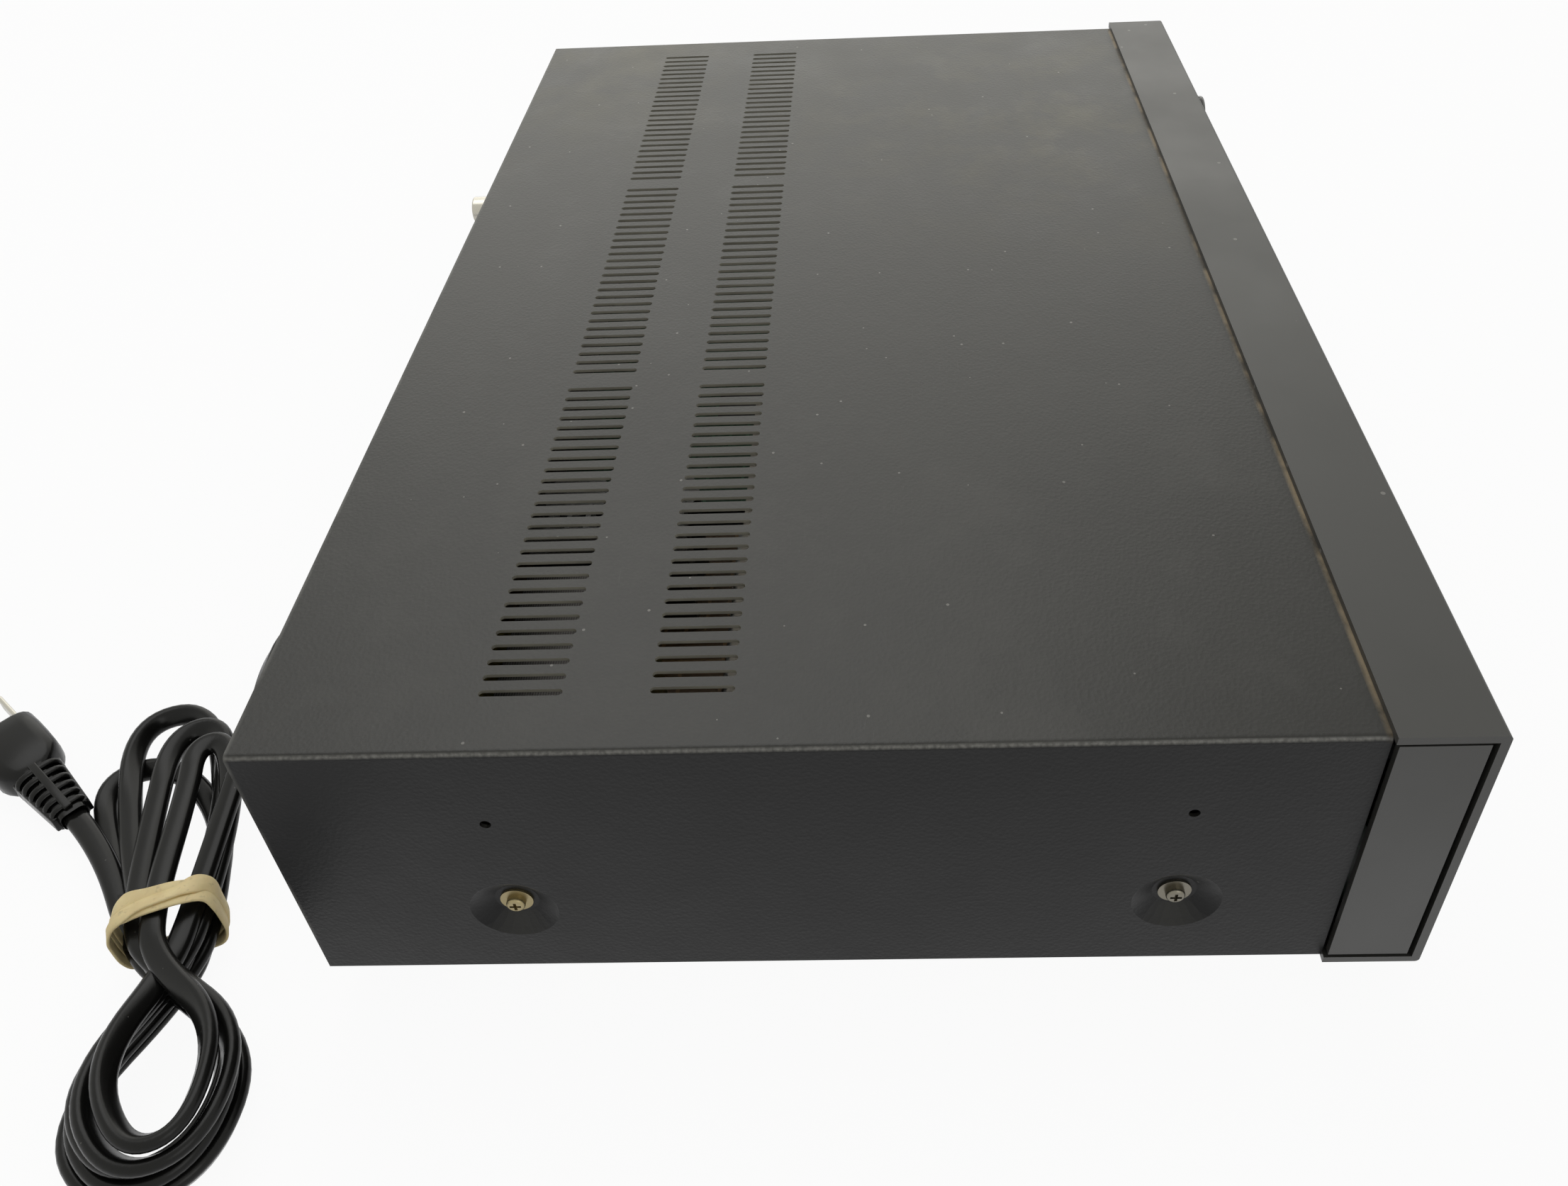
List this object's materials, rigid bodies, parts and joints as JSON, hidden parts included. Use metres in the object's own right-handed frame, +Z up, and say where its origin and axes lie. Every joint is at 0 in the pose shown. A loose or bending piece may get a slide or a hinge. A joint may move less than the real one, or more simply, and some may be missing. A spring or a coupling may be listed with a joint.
{
  "type": "CD recorder",
  "caption": "Full-width black hi-fi CD recorder with a disc tray, front controls, vented cover and a tied power cord.",
  "frame": {"origin": "bottom centre of the unit's box, on the surface it stands on, without the cord", "axes": "+X to the right seen from the front, +Y to the rear, +Z up"},
  "size_m": [0.5029, 0.4605, 0.1027],
  "materials": {
    "cover_paint": "fine textured satin",
    "bezel_plastic": "smooth satin",
    "black_plastic": "satin",
    "button_plastic": "satin",
    "smoked_window": "clear smoked",
    "zinc_steel": "zinc plated",
    "lid_paint": "satin",
    "drive_plastic": "satin",
    "tray_plastic": "satin",
    "white_plastic": "satin",
    "board": "satin",
    "motor_steel": "plated",
    "screw_nickel": "nickel plated",
    "jack_nickel": "nickel plated",
    "core_steel": "varnished",
    "lens_glass": "coated",
    "foot_plastic": "satin",
    "belt_rubber": "matte",
    "ribbon": "satin",
    "cord_vinyl": "satin",
    "band_rubber": "matte"
  },
  "bodies": {
    "case": {"base_chassis": "zinc_steel", "coax_cap": "jack_nickel", "coax_jack": "jack_nickel", "control_pots": "black_plastic", "cord_band": "band_rubber", "cord_gland": "black_plastic", "cord_hank": "cord_vinyl", "cover_screws": "screw_nickel", "display_window": "smoked_window", "drive_frame": "drive_plastic", "drive_lid": "lid_paint", "foot_front_left": "foot_plastic", "foot_front_right": "foot_plastic", "foot_rear_left": "foot_plastic", "foot_rear_right": "foot_plastic", "foot_screws": "screw_nickel", "front_bezel": "bezel_plastic", "front_board": "board", "left_end_cap": "bezel_plastic", "line_jack_block": "black_plastic", "line_jack_shells": "jack_nickel", "main_board": "board", "optical_jacks": "black_plastic", "phones_jack": "black_plastic", "power_board": "board", "power_cord": "cord_vinyl", "power_plug": "cord_vinyl", "rear_panel": "cover_paint", "rear_screws": "screw_nickel", "ribbon_cable": "ribbon", "right_end_cap": "bezel_plastic", "top_cover": "cover_paint", "transformer": "core_steel", "tray_belt": "belt_rubber", "tray_motor": "motor_steel"},
    "tray": {"disc_tray": "tray_plastic", "tray_front": "bezel_plastic"},
    "gear": {"tray_gear": "white_plastic"},
    "pulley": {"motor_pulley": "white_plastic"},
    "clamp": {"disc_clamp": "white_plastic"},
    "traverse": {"traverse_frame": "zinc_steel", "spindle_motor": "motor_steel", "guide_rods": "motor_steel", "sled_motor": "motor_steel"},
    "table": {"turntable": "black_plastic"},
    "sled": {"laser_sled": "drive_plastic"},
    "lens": {"pickup_lens": "lens_glass"},
    "screw": {"lead_screw": "motor_steel"},
    "level": {"level_knob": "black_plastic"},
    "phones": {"phones_knob": "black_plastic"},
    "jog": {"jog_dial": "black_plastic"},
    "power_key": {"power_button": "button_plastic"},
    "eject_key": {"eject_button": "button_plastic"},
    "play_key": {"play_button": "button_plastic"},
    "pause_key": {"pause_button": "button_plastic"},
    "stop_key": {"stop_button": "button_plastic"},
    "record_key": {"record_button": "button_plastic"},
    "skip_back_key": {"skip_back_button": "button_plastic"},
    "skip_forward_key": {"skip_forward_button": "button_plastic"}
  },
  "joints": [
    {"name": "tray_slide", "type": "slide", "parent": "case", "child": "tray", "axis": [0, -1, 0], "range_m": [0, 0.14]},
    {"name": "tray_gear_spin", "type": "hinge", "parent": "case", "child": "gear", "pos_m": [-0.088, -0.1056, 0.0578], "axis": [0, 0, 1], "range_deg": [-803, 0]},
    {"name": "motor_pulley_spin", "type": "hinge", "parent": "case", "child": "pulley", "pos_m": [-0.134, -0.1056, 0.0578], "axis": [0, 0, 1], "range_deg": [-3009, 0]},
    {"name": "traverse_tilt", "type": "hinge", "parent": "case", "child": "traverse", "pos_m": [-0.128, 0.0104, 0.051], "axis": [1, 0, 0], "range_deg": [0, 4.5]},
    {"name": "turntable_spin", "type": "hinge", "parent": "traverse", "child": "table", "pos_m": [-0.128, -0.0651, 0.0616], "axis": [0, 0, 1], "continuous": true},
    {"name": "clamp_spin", "type": "hinge", "parent": "case", "child": "clamp", "pos_m": [-0.128, -0.0651, 0.08], "axis": [0, 0, 1], "continuous": true},
    {"name": "sled_slide", "type": "slide", "parent": "traverse", "child": "sled", "axis": [0, 1, 0], "range_m": [0, 0.032]},
    {"name": "lead_screw_spin", "type": "hinge", "parent": "traverse", "child": "screw", "pos_m": [-0.102, -0.0456, 0.0558], "axis": [0, 1, 0], "range_deg": [-3842, 0]},
    {"name": "lens_focus", "type": "slide", "parent": "sled", "child": "lens", "axis": [0, 0, 1], "range_m": [-0.0004, 0.0004], "stiffness_N_per_m": 60},
    {"name": "level_knob_turn", "type": "hinge", "parent": "case", "child": "level", "pos_m": [0.183, -0.1444, 0.0697], "axis": [0, 1, 0], "range_deg": [-150, 150]},
    {"name": "phones_knob_turn", "type": "hinge", "parent": "case", "child": "phones", "pos_m": [-0.118, -0.1444, 0.03], "axis": [0, 1, 0], "range_deg": [-150, 150]},
    {"name": "jog_dial_turn", "type": "hinge", "parent": "case", "child": "jog", "pos_m": [0.14, -0.1444, 0.042], "axis": [0, 1, 0], "continuous": true},
    {"name": "power_button_press", "type": "slide", "parent": "case", "child": "power_key", "axis": [0, 1, 0], "range_m": [0, 0.001], "stiffness_N_per_m": 300, "springref_m": -0.0005},
    {"name": "eject_button_press", "type": "slide", "parent": "case", "child": "eject_key", "axis": [0, 1, 0], "range_m": [0, 0.001], "stiffness_N_per_m": 300, "springref_m": -0.0005},
    {"name": "play_button_press", "type": "slide", "parent": "case", "child": "play_key", "axis": [0, 1, 0], "range_m": [0, 0.001], "stiffness_N_per_m": 300, "springref_m": -0.0005},
    {"name": "pause_button_press", "type": "slide", "parent": "case", "child": "pause_key", "axis": [0, 1, 0], "range_m": [0, 0.001], "stiffness_N_per_m": 300, "springref_m": -0.0005},
    {"name": "stop_button_press", "type": "slide", "parent": "case", "child": "stop_key", "axis": [0, 1, 0], "range_m": [0, 0.001], "stiffness_N_per_m": 300, "springref_m": -0.0005},
    {"name": "record_button_press", "type": "slide", "parent": "case", "child": "record_key", "axis": [0, 1, 0], "range_m": [0, 0.001], "stiffness_N_per_m": 300, "springref_m": -0.0005},
    {"name": "skip_back_button_press", "type": "slide", "parent": "case", "child": "skip_back_key", "axis": [0, 1, 0], "range_m": [0, 0.001], "stiffness_N_per_m": 300, "springref_m": -0.0005},
    {"name": "skip_forward_button_press", "type": "slide", "parent": "case", "child": "skip_forward_key", "axis": [0, 1, 0], "range_m": [0, 0.001], "stiffness_N_per_m": 300, "springref_m": -0.0005}
  ],
  "couplings": [
    {"joint": "tray_gear_spin", "follows": "tray_slide", "rad_per_m": -100},
    {"joint": "motor_pulley_spin", "follows": "tray_slide", "rad_per_m": -375},
    {"joint": "clamp_spin", "follows": "turntable_spin", "ratio": 1},
    {"joint": "lead_screw_spin", "follows": "sled_slide", "rad_per_m": -2094.4}
  ]
}
